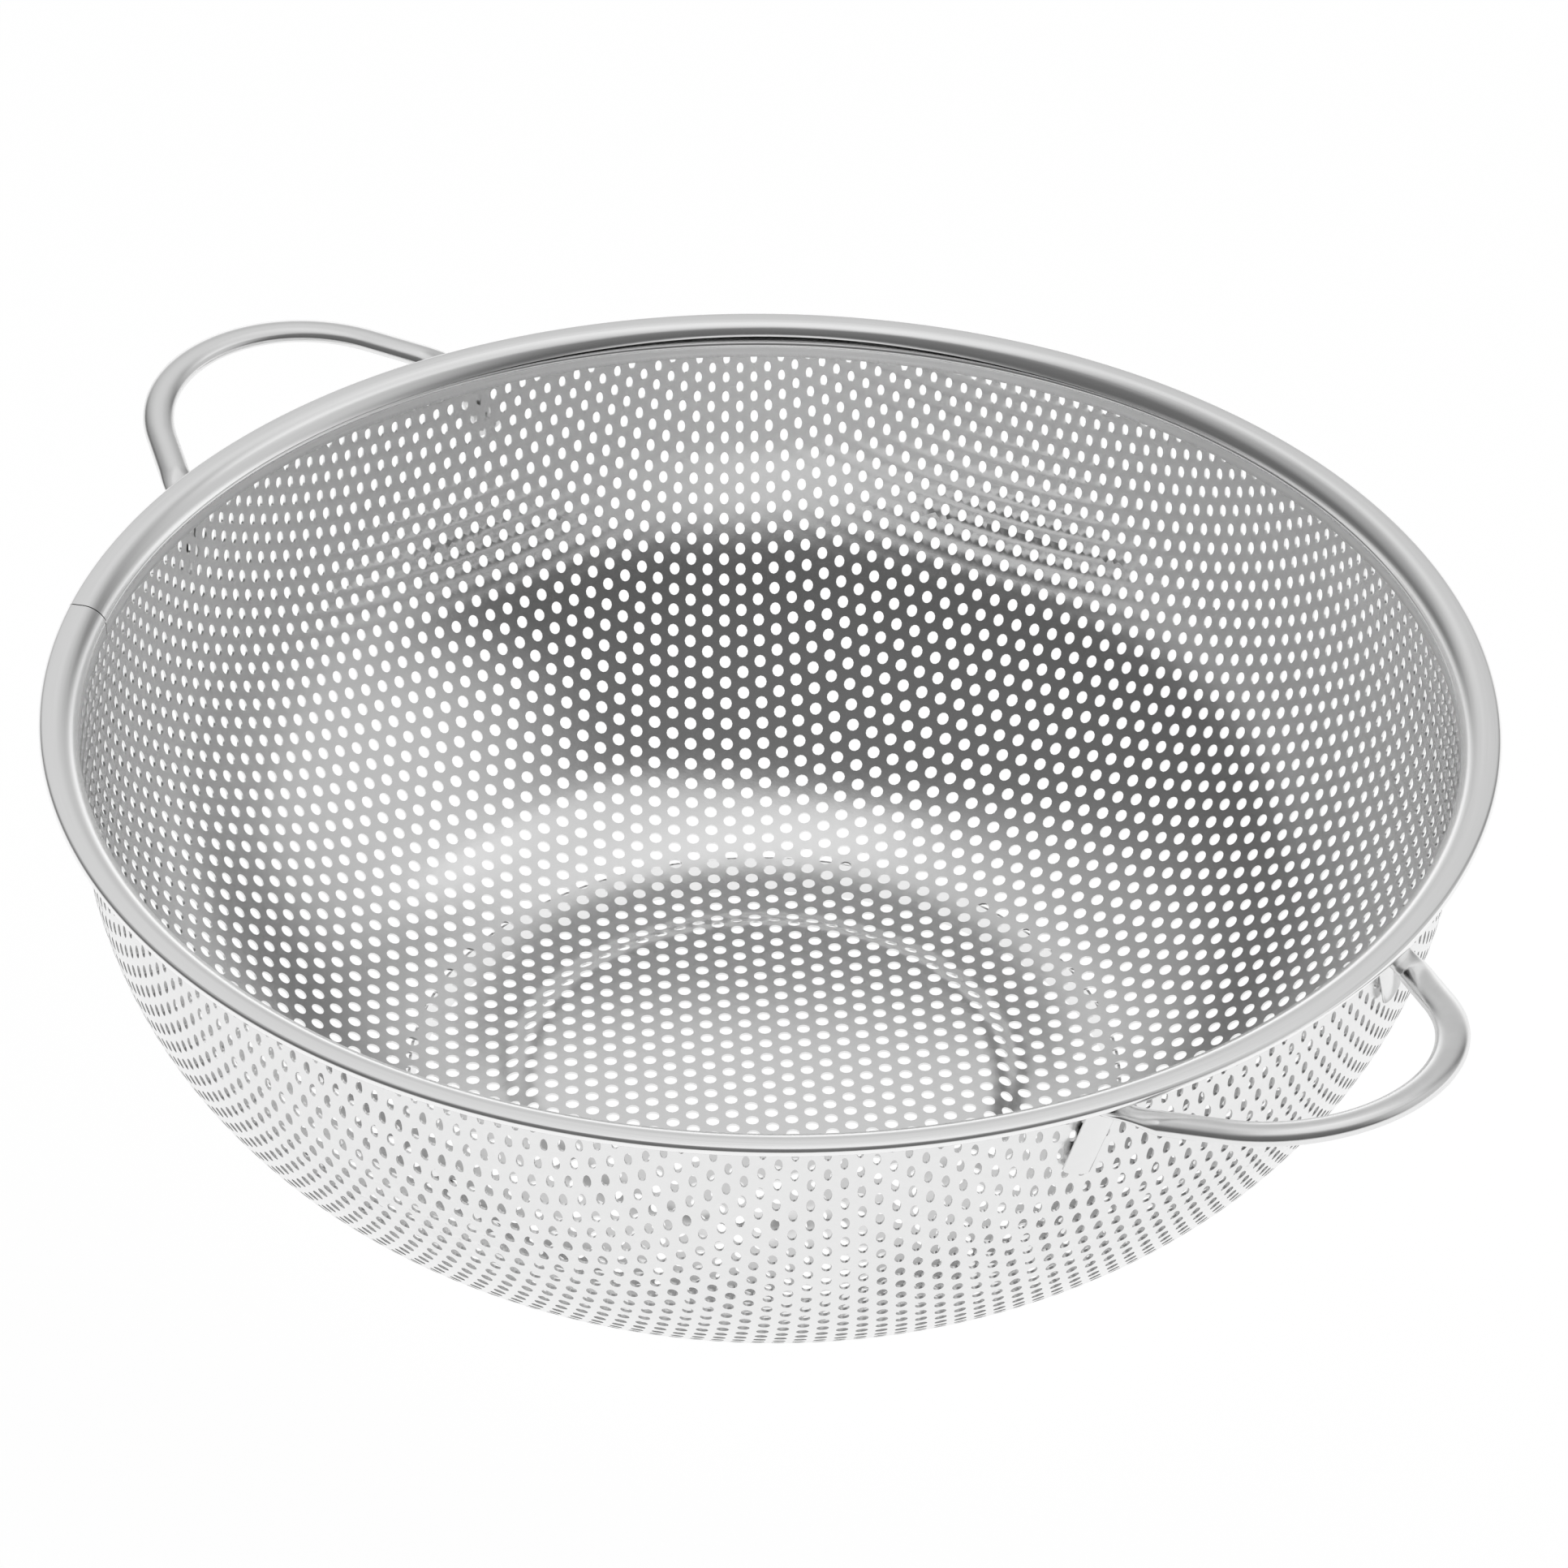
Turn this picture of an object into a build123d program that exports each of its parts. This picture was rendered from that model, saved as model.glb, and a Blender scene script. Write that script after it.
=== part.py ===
"""Colander: drawn perforated bowl, rolled rim band, foot ring and two bent tube handles."""
import os
from math import acos, asin, atan2, ceil, cos, degrees, hypot, pi, radians, sin, sqrt, tan

from build123d import *

os.makedirs("parts", exist_ok=True)

# Bowl, measured on the inside of the sheet, angles in degrees
bowl_sheet = 0.5
disc_radius = 48.5
step_bend = 9.4
step_drop = 2.35
annulus_width = 4.4
corner_bend = 70.1
corner_turn = 36.7
flank_bend = 128.2
flank_turn = 9.0
shoulder_bend = 82.2
wall_draft = 1.5
wall_height = 13.25

# Hole pattern, laid out on the flat blank before drawing
pierced_pitch = 4.92
pierced_hole = 2.9
cluster_share = 4.2
pattern_turn = 20.76
pattern_shift_x = -11.4
pattern_shift_y = 15.6
plain_margin = 9.0
hole_sides = 6

# Rim band, a strip rolled round the edge of the bowl
band_sheet = 0.5
band_gap = 0.15
band_leg = 2.7
band_bend = 0.5
layer_rise = 17.7
layer_width = 7.0
edge_bend = 0.7
crown_flat = 2.15
crown_bend = 4.25
crown_turn = 65.7

# Foot ring, a strip on edge under the bowl
foot_sheet = 0.6
foot_radius = 76.5
foot_height = 9.1
foot_gap = 0.15

# Handles, flattened tube whose ends are pinched, folded down and welded to the wall
tube_width = 6.3
tube_thickness = 3.0
loop_reach = 30.6
loop_bend = 32.7
loop_rise = 7.6
loop_drop = 1.75
leg_splay = 25.2
leg_length = 12.0
pinch_width = 7.0
strap_thickness = 1.9
fold_bend = 1.0
tab_gap = 0.15
layer_gap = 0.3
tab_width = 6.5
tab_length = 14.0
tab_lean = 21.3
tab_shift = 2.3

# Everything that cuts runs this far past the sheet
overrun = 2.0

# Heights that follow from the sizes above
step_turn = degrees(acos(1 - step_drop / (2 * step_bend)))
shoulder_turn = 90 - wall_draft - corner_turn - flank_turn
annulus_start = disc_radius + 2 * step_bend * sin(radians(step_turn))
corner_start = annulus_start + annulus_width
foot_inner = foot_radius - foot_sheet / 2
foot_lean = asin((foot_inner - corner_start) / (corner_bend + bowl_sheet))
foot_seat = corner_bend - (corner_bend + bowl_sheet) * cos(foot_lean)
annulus_top = foot_height + foot_gap - foot_seat
disc_top = annulus_top + step_drop


def add_meridian(depth):
    """Draw the bowl's profile, the given depth outside its inner surface, and return its pieces."""
    disc = Line((0, disc_top - depth), (disc_radius, disc_top - depth))
    fall = JernArc(disc @ 1, disc % 1, step_bend - depth, -step_turn)
    level = JernArc(fall @ 1, fall % 1, step_bend + depth, step_turn)
    annulus = PolarLine(level @ 1, annulus_width, 0)
    corner = JernArc(annulus @ 1, annulus % 1, corner_bend + depth, corner_turn)
    flank = JernArc(corner @ 1, corner % 1, flank_bend + depth, flank_turn)
    shoulder = JernArc(flank @ 1, flank % 1, shoulder_bend + depth, shoulder_turn)
    wall = PolarLine(shoulder @ 1, wall_height, 90 - wall_draft)
    return disc, wall


# Inner profile of the bowl, along which the blank is drawn
with BuildLine() as meridian:
    inner_disc, inner_wall = add_meridian(0)
profile = meridian.wires()[0]
profile_length = profile.length


def drawn_plane(blank_x, blank_y):
    """Return the plane on the bowl's inner surface where a point of the flat blank ends up."""
    reach = hypot(blank_x, blank_y)
    turn = atan2(blank_y, blank_x)
    spot = profile.position_at(reach, PositionMode.LENGTH)
    run = profile.tangent_at(reach, PositionMode.LENGTH)
    centre = Vector(spot.X * cos(turn), spot.X * sin(turn), spot.Y)
    outward = Vector(run.X * cos(turn), run.X * sin(turn), run.Y)
    inward = Vector(-run.Y * cos(turn), -run.Y * sin(turn), run.X)
    return Plane(centre, outward, inward), spot.X / reach, turn


def make_cutters():
    """Return one prism for each hole of the pattern."""
    pitch = pierced_pitch * cluster_share
    across = pierced_hole * cluster_share
    limit = profile_length - plain_margin - across / 2
    count = ceil(profile_length / (pitch * sqrt(3) / 2)) + 2
    cutters = []
    for row in range(-count, count + 1):
        for column in range(-2 * count, 2 * count + 1):
            along = (column + row / 2) * pitch
            up = row * pitch * sqrt(3) / 2
            spin = radians(pattern_turn)
            blank_x = along * cos(spin) - up * sin(spin) + pattern_shift_x
            blank_y = along * sin(spin) + up * cos(spin) + pattern_shift_y
            if hypot(blank_x, blank_y) > limit:
                continue
            plane, squeeze, turn = drawn_plane(blank_x, blank_y)
            corners = []
            for corner in range(hole_sides):
                angle = (2 * corner + 1) * pi / hole_sides + spin - turn
                corners.append((across / 2 * cos(angle), across / 2 * sin(angle) * squeeze))
            outline = plane * Polygon(*corners, align=None)
            cutters.append(extrude(outline, overrun, both=True))
    return cutters


hole_cutters = make_cutters()
print("holes in the pattern:", len(hole_cutters))

# Bowl
with BuildPart() as perforated_bowl:
    with BuildSketch(Plane.XZ):
        with BuildLine():
            disc_inside, wall_inside = add_meridian(0)
            disc_outside, wall_outside = add_meridian(bowl_sheet)
            Line(disc_inside @ 0, disc_outside @ 0)
            Line(wall_inside @ 1, wall_outside @ 1)
        make_face()
    revolve(axis=Axis.Z)
    add(hole_cutters, mode=Mode.SUBTRACT)
perforated_bowl.part.label = "perforated_bowl"
export_step(perforated_bowl.part, "parts/perforated_bowl.step")

# Rim band, drawn along the middle of its strip from the foot of its leg to its free edge
wall_top = inner_wall @ 1
leg_turn = 90 - wall_draft
leg_side = band_gap + band_sheet / 2
leg_end = Vector(
    wall_top.X - leg_side * cos(radians(wall_draft)),
    wall_top.Y + leg_side * sin(radians(wall_draft)),
)
with BuildPart() as rim_band:
    with BuildSketch(Plane.XZ):
        with BuildLine() as strip_line:
            leg = PolarLine(leg_end, -band_leg, leg_turn)
            bend = JernArc(leg @ 0, leg % 1 * -1, band_bend, layer_rise - leg_turn)
            layer = PolarLine(bend @ 1, layer_width, layer_rise)
            edge = JernArc(layer @ 1, layer % 1, edge_bend, 180 - layer_rise)
            flat = PolarLine(edge @ 1, crown_flat, 180)
            crown = JernArc(flat @ 1, flat % 1, crown_bend, crown_turn)
            offset(amount=band_sheet / 2, side=Side.BOTH)
        make_face()
    revolve(axis=Axis.Z)
rim_band.part.label = "rim_band"
export_step(rim_band.part, "parts/rim_band.step")

# Foot ring
with BuildPart() as foot_ring:
    with BuildSketch(Plane.XZ):
        with BuildLine():
            Polyline(
                (foot_inner, 0),
                (foot_inner + foot_sheet, 0),
                (foot_inner + foot_sheet, foot_height),
                (foot_inner, foot_height),
                close=True,
            )
        make_face()
    revolve(axis=Axis.Z)
foot_ring.part.label = "foot_ring"
export_step(foot_ring.part, "parts/foot_ring.step")

# Centre of the fold, as far from the wall of the bowl as from the layer of the band above it
edge_centre = edge.arc_center
band_outer = edge_centre.X + edge_bend + band_sheet / 2
wall_slope = tan(radians(wall_draft))
layer_slope = tan(radians(layer_rise))
fold_outside = fold_bend + strap_thickness
wall_corner = wall_outside @ 1
beside_wall = wall_corner.X + (tab_gap + fold_outside) / cos(radians(wall_draft))
layer_depth = (band_sheet / 2 + layer_gap + fold_outside) / cos(radians(layer_rise))
under_layer = layer.start_point().Y - layer_depth
under_layer = under_layer - layer.start_point().X * layer_slope
fold_radius = (beside_wall + (under_layer - wall_corner.Y) * wall_slope) / (1 - layer_slope * wall_slope)
fold_height = under_layer + fold_radius * layer_slope
fold_middle = fold_bend + strap_thickness / 2

# Loop of a handle, in its own tilted plane from the outer edge of the band
loop_plane = Plane(
    origin=(band_outer, 0, edge_centre.Y - loop_drop),
    x_dir=(cos(radians(loop_rise)), 0, sin(radians(loop_rise))),
    z_dir=(-sin(radians(loop_rise)), 0, cos(radians(loop_rise))),
)
loop_half = 90 - leg_splay
leg_x = loop_reach - loop_bend + loop_bend * cos(radians(loop_half))
leg_y = loop_bend * sin(radians(loop_half))
leg_out_x = leg_x - leg_length * cos(radians(leg_splay))
leg_out_y = leg_y + leg_length * sin(radians(leg_splay))
with BuildLine(loop_plane) as loop_line:
    Line((leg_out_x, -leg_out_y), (leg_x, -leg_y))
    CenterArc((loop_reach - loop_bend, 0), loop_bend, -loop_half, 2 * loop_half)
    Line((leg_x, leg_y), (leg_out_x, leg_out_y))

# Place on the wall where the leg points, from which the fold draws the tab in
leg_start = loop_plane.from_local_coords(Vector(leg_out_x, leg_out_y))
leg_heading = (leg_start - loop_plane.from_local_coords(Vector(leg_x, leg_y))).normalized()
weld_radius = wall_corner.X + tab_gap + strap_thickness / 2
plan_run = leg_start.X * leg_heading.X + leg_start.Y * leg_heading.Y
plan_square = leg_heading.X ** 2 + leg_heading.Y ** 2
plan_rest = leg_start.X ** 2 + leg_start.Y ** 2 - weld_radius ** 2
leg_more = (-plan_run - sqrt(plan_run ** 2 - plan_square * plan_rest)) / plan_square
weld_spot = leg_start + leg_heading * leg_more
tab_turn = atan2(weld_spot.Y, weld_spot.X) - tab_shift / weld_radius
tab_out = Vector(cos(tab_turn), sin(tab_turn), 0)
tab_side = Vector(-sin(tab_turn), cos(tab_turn), 0)
upright = Vector(0, 0, 1)


def fold_plane(angle):
    """Return the plane of the strap's section at an angle round the fold, from level outward."""
    normal = tab_out * cos(radians(angle)) + upright * sin(radians(angle))
    across = upright * cos(radians(angle)) - tab_out * sin(radians(angle))
    heading = across * cos(radians(tab_lean)) + tab_side * sin(radians(tab_lean))
    left = fold_middle * radians(180 - wall_draft - angle) * tan(radians(tab_lean))
    spot = tab_out * fold_radius + upright * fold_height + normal * fold_middle - tab_side * left
    return Plane(origin=spot, x_dir=normal.cross(heading), z_dir=heading)


# Sections of the pinch, from the end of the tube to the fold, then of the fold to the tab
fold_start = 90 + layer_rise
fold_end = 180 - wall_draft
first_fold = fold_plane(fold_start)
with BuildLine() as pinch_line:
    pinch = Spline(leg_start, first_fold.origin, tangents=(leg_heading, first_fold.z_dir))
pinch_shares = (0, 0.35, 0.7)
pinch_sections = []
for share in pinch_shares:
    heading = pinch % share
    normal = loop_plane.z_dir * (1 - share) + first_fold.y_dir * share
    width = tube_width + (pinch_width - tube_width) * share / pinch_shares[-1]
    thickness = tube_thickness + (strap_thickness - tube_thickness) * share / pinch_shares[-1]
    place = Plane(origin=pinch @ share, x_dir=normal.cross(heading), z_dir=heading)
    pinch_sections.append((place, width, thickness))
pinch_sections.append((first_fold, pinch_width, strap_thickness))
fold_shares = (0, 0.25, 0.5, 0.75, 1)
fold_sections = []
for share in fold_shares:
    width = pinch_width + (tab_width - pinch_width) * share
    fold_sections.append((fold_plane(fold_start + (fold_end - fold_start) * share), width, strap_thickness))

# End of a handle: pinch, fold and tab
with BuildPart() as strap_end:
    for sections in (pinch_sections, fold_sections):
        for place, width, thickness in sections:
            with BuildSketch(place):
                SlotOverall(width, thickness)
        loft()
    with BuildSketch(fold_sections[-1][0]):
        SlotOverall(tab_width, strap_thickness)
    extrude(amount=tab_length)

# Handles, alike and opposite each other
tube_place = Plane(
    origin=loop_line.line @ 0,
    x_dir=loop_plane.z_dir.cross(loop_line.line % 0),
    z_dir=loop_line.line % 0,
)
with BuildPart() as handle_right:
    with BuildSketch(tube_place):
        SlotOverall(tube_width, tube_thickness)
    sweep(path=loop_line.line)
    add(strap_end.part)
    mirror(strap_end.part, about=Plane.XZ)
handle_right.part.label = "handle_right"
export_step(handle_right.part, "parts/handle_right.step")

with BuildPart() as handle_left:
    add(handle_right.part, rotation=(0, 0, 180))
handle_left.part.label = "handle_left"
export_step(handle_left.part, "parts/handle_left.step")
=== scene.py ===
"""Looks of a stainless steel colander, dressed on its CAD frame.

The bowl is punched as a flat blank and drawn to shape, the rim band is rolled from one strip and each
handle is bent from one tube. The foot ring keeps its CAD form under its own steel finish.
"""

import logging
import math
from dataclasses import dataclass
from enum import Enum
from typing import Optional, Union

import bmesh
import bpy
from mathutils import Matrix, Vector
from mathutils.geometry import interpolate_bezier


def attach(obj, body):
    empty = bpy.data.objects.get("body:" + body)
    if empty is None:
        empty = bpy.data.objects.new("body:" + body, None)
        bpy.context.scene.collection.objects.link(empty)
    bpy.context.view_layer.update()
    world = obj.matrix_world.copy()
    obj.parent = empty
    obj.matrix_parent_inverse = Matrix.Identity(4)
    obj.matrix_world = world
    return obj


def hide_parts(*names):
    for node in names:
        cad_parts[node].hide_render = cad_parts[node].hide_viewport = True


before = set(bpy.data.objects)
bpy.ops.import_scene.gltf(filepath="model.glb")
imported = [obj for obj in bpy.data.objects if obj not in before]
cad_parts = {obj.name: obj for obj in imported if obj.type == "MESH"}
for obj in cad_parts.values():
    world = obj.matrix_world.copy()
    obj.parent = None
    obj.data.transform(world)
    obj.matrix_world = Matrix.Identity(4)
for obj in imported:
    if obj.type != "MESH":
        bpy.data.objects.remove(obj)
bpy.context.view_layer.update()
log = logging.getLogger("colander")

MM = 0.001
CELL_SIDES = 6
GRID_TURN = 360 // CELL_SIDES
ROW_STEP = math.sqrt(3) / 2
WHITE = (1, 1, 1, 1)
Number = Union[int, float, "Wire"]


class Wire:
    """A shader socket that takes part in sums, so that node maths reads as plain maths."""

    def __init__(self, tree: bpy.types.NodeTree, socket: bpy.types.NodeSocket) -> None:
        """Keep the tree and the output socket that this wire stands for."""
        self.tree = tree
        self.socket = socket

    def _maths(self, operation: str, *values: Number) -> "Wire":
        """Add one Math node.

        Args:
            operation: The node's operation.
            values: Its inputs, numbers or wires.

        Returns:
            The node's output.
        """
        return node(self.tree, "ShaderNodeMath", {"operation": operation}, dict(enumerate(values)))

    def __add__(self, other: Number) -> "Wire":
        """Sum."""
        return self._maths("ADD", self, other)

    def __radd__(self, other: Number) -> "Wire":
        """Sum, reflected."""
        return self._maths("ADD", other, self)

    def __sub__(self, other: Number) -> "Wire":
        """Difference."""
        return self._maths("SUBTRACT", self, other)

    def __rsub__(self, other: Number) -> "Wire":
        """Difference, reflected."""
        return self._maths("SUBTRACT", other, self)

    def __mul__(self, other: Number) -> "Wire":
        """Product."""
        return self._maths("MULTIPLY", self, other)

    def __rmul__(self, other: Number) -> "Wire":
        """Product, reflected."""
        return self._maths("MULTIPLY", other, self)

    def root(self) -> "Wire":
        """Square root."""
        return self._maths("SQRT", self)

    def size(self) -> "Wire":
        """Absolute value."""
        return self._maths("ABSOLUTE", self)

    def turn_to(self, other: "Wire") -> "Wire":
        """Angle of the point whose height is this wire and whose run is the other."""
        return self._maths("ARCTAN2", self, other)

    def ramp(self, start: float, end: float) -> "Wire":
        """Smooth step from 0 at start to 1 at end."""
        return node(
            self.tree,
            "ShaderNodeMapRange",
            {"interpolation_type": "SMOOTHSTEP", "clamp": True},
            {"Value": self, "From Min": start, "From Max": end, "To Min": 0.0, "To Max": 1.0},
        )

    def bell(self, centre: float, width: float) -> "Wire":
        """Smooth bump of height 1 round a value, gone one width away on either side."""
        return 1 - (self - centre).size().ramp(0.0, width)


def node(
    tree: bpy.types.NodeTree,
    kind: str,
    settings: Optional[dict] = None,
    inputs: Optional[dict] = None,
    output: Union[int, str] = 0,
) -> Wire:
    """Add any node, its settings first and then its sockets.

    Args:
        tree: The node tree.
        kind: The node's type.
        settings: Attributes of the node.
        inputs: Socket names or numbers, with numbers, colours or wires.
        output: The output socket that is wanted.

    Returns:
        The wire of that output.
    """
    made = tree.nodes.new(kind)
    for key, value in (settings or {}).items():
        setattr(made, key, value)
    for key, value in (inputs or {}).items():
        if isinstance(value, Wire):
            tree.links.new(value.socket, made.inputs[key])
        else:
            made.inputs[key].default_value = value
    return Wire(tree, made.outputs[output])


def axes(tree: bpy.types.NodeTree, vector: Wire) -> tuple[Wire, ...]:
    """Split a vector into its x, y and z wires."""
    split = node(tree, "ShaderNodeSeparateXYZ", inputs={0: vector}).socket.node
    return tuple(Wire(tree, output) for output in split.outputs)


def seen_by(tree: bpy.types.NodeTree, *rays: str) -> Wire:
    """Return a wire that is 1 for the named kinds of ray, outputs of one Light Path node."""
    path = tree.nodes.new("ShaderNodeLightPath")
    seen, *others = (Wire(tree, path.outputs[ray]) for ray in rays)
    for other in others:
        seen = seen + other
    return seen


def edges_of(verts: list[bmesh.types.BMVert]) -> list[bmesh.types.BMEdge]:
    """List the edges at some vertices once each, in a fixed order."""
    return list(dict.fromkeys(edge for vert in verts for edge in vert.link_edges))


def eased(share: float) -> float:
    """Ease a share from 0 to 1, held at both ends."""
    share = min(max(share, 0.0), 1.0)
    return share * share * (3 - 2 * share)


class Grain(Enum):
    """Direction in which a steel surface was brushed or rolled."""

    ROUND = "round the axis"
    MOTTLED = "no direction"
    LENGTHWISE = "along the tube"


@dataclass(frozen=True)
class LegMarks:
    """Marks on the rim band's inner leg: rolling stripes, and the blotches of the roller weld.

    Heights are in metres. Each noise has a scale round the axis and a scale upwards.
    """

    top: float = 0.1039
    fade: float = 0.0003
    weld_height: float = 0.1013
    weld_spread: float = 0.0013
    stripe_scales: tuple[float, float] = (4.0, 5200.0)
    blotch_scales: tuple[float, float] = (210.0, 900.0)
    stripe_roughness: float = 0.2
    stripe_relief: float = 3.5
    blotch_shade: float = 0.3
    blotch_relief: float = 22.0

    def wires(self, tree: bpy.types.NodeTree) -> tuple[Wire, Wire]:
        """Make the stripes and the blotches.

        Args:
            tree: The material's nodes.

        Returns:
            The stripes and the blotches, each from 0 to 1 and gone above the leg.
        """
        x, y, z = axes(tree, node(tree, "ShaderNodeTexCoord", output="Object"))
        azimuth = y.turn_to(x)
        noises = []
        for around, upward in (self.stripe_scales, self.blotch_scales):
            place = node(tree, "ShaderNodeCombineXYZ", inputs={0: azimuth * around, 1: z * upward})
            inputs = {"Vector": place, "Scale": 1.0, "Detail": 2.0}
            noises.append(node(tree, "ShaderNodeTexNoise", inputs=inputs))
        leg = 1 - z.ramp(self.top - self.fade, self.top)
        return noises[0] * leg, noises[1] * z.bell(self.weld_height, self.weld_spread)


@dataclass(frozen=True)
class SteelFinish:
    """A satin stainless steel finish, with the relief of its grain in metres."""

    name: str
    shade: float
    roughness: float
    grain: Grain
    grain_scale: float
    grain_depth: float = 0.00001
    shade_spread: float = 0.06
    rough_spread: float = 0.10
    round_scale: float = 6.0
    length_share: float = 0.25
    leg: Optional[LegMarks] = None

    def grain_wire(self, tree: bpy.types.NodeTree) -> Wire:
        """Make the noise that follows the grain.

        Args:
            tree: The material's nodes.

        Returns:
            A value from 0 to 1.
        """
        place = node(tree, "ShaderNodeTexCoord", output="Object")
        scale = self.grain_scale
        if self.grain is not Grain.MOTTLED:
            x, y, z = axes(tree, place)
            if self.grain is Grain.ROUND:
                radius = (x * x + y * y).root()
                inputs = {0: radius * scale, 1: z * scale, 2: y.turn_to(x) * self.round_scale}
            else:
                along = scale * self.length_share
                inputs = {0: x * along, 1: y * along, 2: z * scale}
            place = node(tree, "ShaderNodeCombineXYZ", inputs=inputs)
            scale = 1.0
        return node(
            tree,
            "ShaderNodeTexNoise",
            {"noise_dimensions": "3D"},
            {"Vector": place, "Scale": scale, "Detail": 3.0, "Roughness": 0.6},
        )

    def build(self) -> bpy.types.Material:
        """Make the material.

        Returns:
            The finished material.
        """
        material = bpy.data.materials.new(self.name)
        material.use_nodes = True
        tree = material.node_tree
        shader = tree.nodes["Principled BSDF"]
        shader.inputs["Metallic"].default_value = 1.0
        grain = self.grain_wire(tree)
        tone = grain * self.shade_spread + (self.shade - self.shade_spread / 2)
        rough = grain * self.rough_spread + (self.roughness - self.rough_spread / 2)
        relief = grain
        if self.leg is not None:
            stripes, blotches = self.leg.wires(tree)
            tone = tone - blotches * self.leg.blotch_shade
            rough = rough + stripes * self.leg.stripe_roughness
            relief = grain + stripes * self.leg.stripe_relief + blotches * self.leg.blotch_relief
        colour = node(tree, "ShaderNodeCombineColor", inputs={0: tone, 1: tone, 2: tone})
        bump = node(
            tree,
            "ShaderNodeBump",
            inputs={"Strength": 1.0, "Distance": self.grain_depth, "Height": relief},
        )
        tree.links.new(colour.socket, shader.inputs["Base Color"])
        tree.links.new(rough.socket, shader.inputs["Roughness"])
        tree.links.new(bump.socket, shader.inputs["Normal"])
        return material


def finished(
    name: str,
    mesh: bmesh.types.BMesh,
    material: bpy.types.Material,
    sharp: float = 40.0,
) -> bpy.types.Object:
    """Turn a bmesh into a smooth shaded object at the origin.

    Args:
        name: The piece's name.
        mesh: The bmesh, which is freed.
        material: Its finish.
        sharp: Angle in degrees past which an edge is sharp.

    Returns:
        The linked object.
    """
    data = bpy.data.meshes.new(name)
    mesh.to_mesh(data)
    mesh.free()
    data.polygons.foreach_set("use_smooth", [True] * len(data.polygons))
    data.set_sharp_from_angle(angle=math.radians(sharp))
    data.materials.append(material)
    made = bpy.data.objects.new(name, data)
    bpy.context.scene.collection.objects.link(made)
    return made


@dataclass
class Meridian:
    """Profile of the bowl's inner surface, lengths in millimetres and angles in degrees."""

    disc_radius: float = 48.5
    step_bend: float = 9.4
    step_drop: float = 2.35
    annulus_width: float = 4.4
    corner_bend: float = 70.1
    corner_turn: float = 36.7
    flank_bend: float = 128.2
    flank_turn: float = 9.0
    shoulder_bend: float = 82.2
    wall_draft: float = 1.5
    wall_height: float = 13.25
    disc_height: float = 10.657

    def __post_init__(self) -> None:
        """Lay the runs end to end."""
        step = math.degrees(math.acos(1 - self.step_drop / (2 * self.step_bend)))
        shoulder = 90 - self.wall_draft - self.corner_turn - self.flank_turn
        bends = [
            (0.0, self.disc_radius),
            (-step, self.step_bend),
            (step, self.step_bend),
            (0.0, self.annulus_width),
            (self.corner_turn, self.corner_bend),
            (self.flank_turn, self.flank_bend),
            (shoulder, self.shoulder_bend),
            (0.0, self.wall_height),
        ]
        self.runs = []
        start, r, z, slope = 0.0, 0.0, self.disc_height, 0.0
        for turn, size in bends:
            length = size if turn == 0 else abs(math.radians(turn)) * size
            bend = math.copysign(1 / size, turn) if turn else 0.0
            self.runs.append((start, length, r, z, slope, bend))
            r, z, slope = self.along(self.runs[-1], length)
            start += length
        self.length = start

    @staticmethod
    def along(run: tuple, distance: float) -> tuple[float, float, float]:
        """Walk along one run.

        Args:
            run: Start, length, radius, height, slope and curvature.
            distance: How far to walk from its start.

        Returns:
            Radius, height and slope in radians.
        """
        _, _, r, z, slope, bend = run
        if bend == 0:
            return r + distance * math.cos(slope), z + distance * math.sin(slope), slope
        end = slope + distance * bend
        r += (math.sin(end) - math.sin(slope)) / bend
        z += (math.cos(slope) - math.cos(end)) / bend
        return r, z, end

    def at(self, distance: float) -> tuple[float, float, float]:
        """Return the radius, height and slope at a distance along the profile."""
        for run in reversed(self.runs):
            if distance >= run[0]:
                return self.along(run, distance - run[0])
        return self.along(self.runs[0], distance)


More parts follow.
